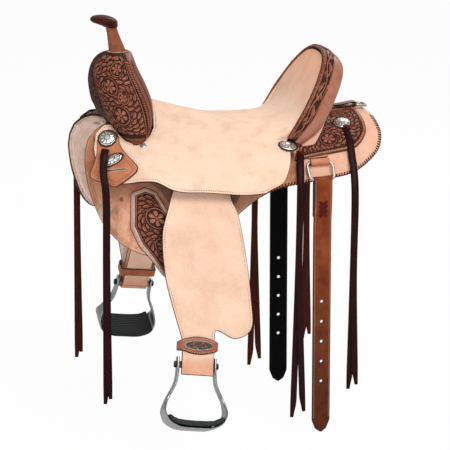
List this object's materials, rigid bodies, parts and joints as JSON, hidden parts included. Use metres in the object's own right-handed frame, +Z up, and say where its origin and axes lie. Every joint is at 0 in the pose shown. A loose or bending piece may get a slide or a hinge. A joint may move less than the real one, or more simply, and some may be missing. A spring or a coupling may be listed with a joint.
{
  "type": "barrel racing saddle",
  "caption": "Western barrel racing saddle with swell fork, roughout seat and fenders, tooled leather, bell stirrups, saddle strings and rear billets.",
  "frame": {"origin": "point on the centre plane under the seat where a saddle rack's beam or the horse's back carries the tree", "axes": "+X towards the rear (the horn is at -X), -Y the near (left) side, +Z up"},
  "size_m": [0.6093, 0.7866, 0.8436],
  "materials": {
    "roughout": "roughout leather, flesh side out, pale tan",
    "skirting": "oiled skirting leather",
    "tooled": "floral tooled leather, dark antique finish",
    "string": "latigo leather, dark mahogany",
    "billet": "doubled and stitched billet leather",
    "fleece": "woolskin lining",
    "tree": "wood tree covered with glued fibreglass",
    "steel": "satin grey metal",
    "silver": "bright engraved silver plate",
    "rubber": "black ribbed tread"
  },
  "bodies": {
    "saddle": {"tree_fork": "tree", "fork_cover": "tooled", "horn_core": "steel", "horn_wrap": "skirting", "horn_cap": "string", "tree_cantle": "tree", "ground_seat": "skirting", "seat_leather": "roughout", "cantle_binding": "tooled", "cantle_back": "roughout", "back_dee_strap": "skirting", "tree_bar_near": "tree", "tree_bar_off": "tree", "skirt_near": "skirting", "skirt_off": "skirting", "fleece_near": "fleece", "fleece_off": "fleece", "rigging_plate_near": "tooled", "rigging_plate_off": "tooled", "rear_jockey_near": "tooled", "rear_jockey_off": "tooled", "latigo_keeper_near": "skirting", "latigo_keeper_off": "skirting", "dee_strap_near": "skirting", "dee_strap_off": "skirting", "breast_dee_near": "silver", "breast_dee_off": "silver", "front_concho_near": "silver", "front_concho_off": "silver", "keeper_concho_near": "silver", "keeper_concho_off": "silver", "mid_concho_near": "silver", "mid_concho_off": "silver", "rear_concho_near": "silver", "rear_concho_off": "silver", "front_strings_near": "string", "front_strings_off": "string", "mid_strings_near": "string", "mid_strings_off": "string", "rear_strings_near": "string", "rear_strings_off": "string"},
    "near_fender": {"stirrup_leather_near": "roughout", "fender_near": "roughout", "hobble_strap_near": "skirting", "hobble_plaque_near": "silver"},
    "near_stirrup": {"stirrup_bolt_near": "steel", "stirrup_frame_near": "steel", "stirrup_tread_near": "rubber"},
    "near_dee": {"rear_dee_near": "silver"},
    "near_billet": {"billet_near": "billet"},
    "off_fender": {"stirrup_leather_off": "roughout", "fender_off": "roughout", "hobble_strap_off": "skirting", "hobble_plaque_off": "silver"},
    "off_stirrup": {"stirrup_bolt_off": "steel", "stirrup_frame_off": "steel", "stirrup_tread_off": "rubber"},
    "off_dee": {"rear_dee_off": "silver"},
    "off_billet": {"billet_off": "billet"},
    "back_ring": {"back_dee": "silver"}
  },
  "joints": [
    {"name": "near_fender_swing", "type": "hinge", "parent": "saddle", "child": "near_fender", "pos_m": [-0.087, -0.17623, -0.04797], "axis": [-0.0026, 0.9272, -0.3746], "range_deg": [-20, 20]},
    {"name": "near_stirrup_swing", "type": "hinge", "parent": "near_fender", "child": "near_stirrup", "pos_m": [-0.13042, -0.31559, -0.34774], "axis": [0.9914, -0.0465, -0.122], "range_deg": [-40, 40]},
    {"name": "near_dee_lift", "type": "hinge", "parent": "saddle", "child": "near_dee", "pos_m": [0.15652, -0.15681, 0.0086], "axis": [-0.9962, -0.0877, 0], "range_deg": [0, 80]},
    {"name": "near_billet_swing", "type": "hinge", "parent": "near_dee", "child": "near_billet", "pos_m": [0.15836, -0.17769, -0.0219], "axis": [-0.9962, -0.0877, 0], "range_deg": [0, 60]},
    {"name": "off_fender_swing", "type": "hinge", "parent": "saddle", "child": "off_fender", "pos_m": [-0.087, 0.17623, -0.04797], "axis": [0.0026, 0.9272, 0.3746], "range_deg": [-20, 20]},
    {"name": "off_stirrup_swing", "type": "hinge", "parent": "off_fender", "child": "off_stirrup", "pos_m": [-0.13042, 0.31559, -0.34774], "axis": [-0.9914, -0.0465, 0.122], "range_deg": [-40, 40]},
    {"name": "off_dee_lift", "type": "hinge", "parent": "saddle", "child": "off_dee", "pos_m": [0.15652, 0.15681, 0.0086], "axis": [0.9962, -0.0877, 0], "range_deg": [0, 80]},
    {"name": "off_billet_swing", "type": "hinge", "parent": "off_dee", "child": "off_billet", "pos_m": [0.15836, 0.17769, -0.0219], "axis": [0.9962, -0.0877, 0], "range_deg": [0, 60]},
    {"name": "back_dee_flip", "type": "hinge", "parent": "saddle", "child": "back_ring", "pos_m": [0.27, 0, 0.0917], "axis": [0, -1, 0], "range_deg": [0, 100]}
  ]
}
